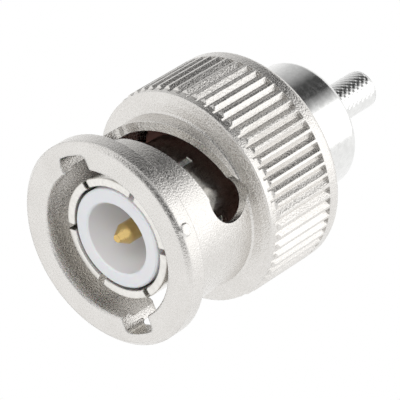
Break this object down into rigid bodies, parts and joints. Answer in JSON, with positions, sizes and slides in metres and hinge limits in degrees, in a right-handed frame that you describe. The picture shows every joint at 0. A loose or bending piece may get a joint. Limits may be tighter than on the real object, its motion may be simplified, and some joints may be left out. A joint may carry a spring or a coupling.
{
  "type": "bnc connector",
  "caption": "Round coaxial cable plug: a slotted, fluted bayonet nut turns and slides on a slim body with a pin contact, a springy sleeve and a crimp stem.",
  "frame": {"origin": "centre of the nut's flat mating face, which the plug stands on", "axes": "+Z along the plug's axis, from the mating face to the crimp stem; the first keyway is turned from +X towards +Y"},
  "size_m": [0.0144, 0.0144, 0.0248],
  "materials": {
    "nut_nickel": "satin nickel plate on a cast zinc nut",
    "body_nickel": "bright nickel plate on turned brass",
    "contact_nickel": "bright nickel plate on spring bronze",
    "ptfe": "smooth white PTFE",
    "gold": "gold plate on brass",
    "silicone": "matte silicone rubber",
    "spring_steel": "spring steel"
  },
  "bodies": {
    "plug_body": {"front_body": "body_nickel", "rear_body": "body_nickel", "outer_contact": "contact_nickel", "front_insulator": "ptfe", "rear_insulator": "ptfe", "centre_contact": "gold", "gasket": "silicone", "wave_washer_front": "spring_steel"},
    "spring_seat": {"thrust_washer": "spring_steel", "wave_washer_rear": "spring_steel"},
    "nut": {"coupling_nut": "nut_nickel"}
  },
  "joints": [
    {"name": "nut_slide", "type": "slide", "parent": "plug_body", "child": "spring_seat", "axis": [0, 0, 1], "range_m": [-0.0007, 0], "stiffness_N_per_m": 5000, "springref_m": 0.00005, "deforming": ["wave_washer_front", "wave_washer_rear"]},
    {"name": "nut_turn", "type": "hinge", "parent": "spring_seat", "child": "nut", "pos_m": [0, 0, 0.0132], "axis": [0, 0, 1], "continuous": true}
  ]
}
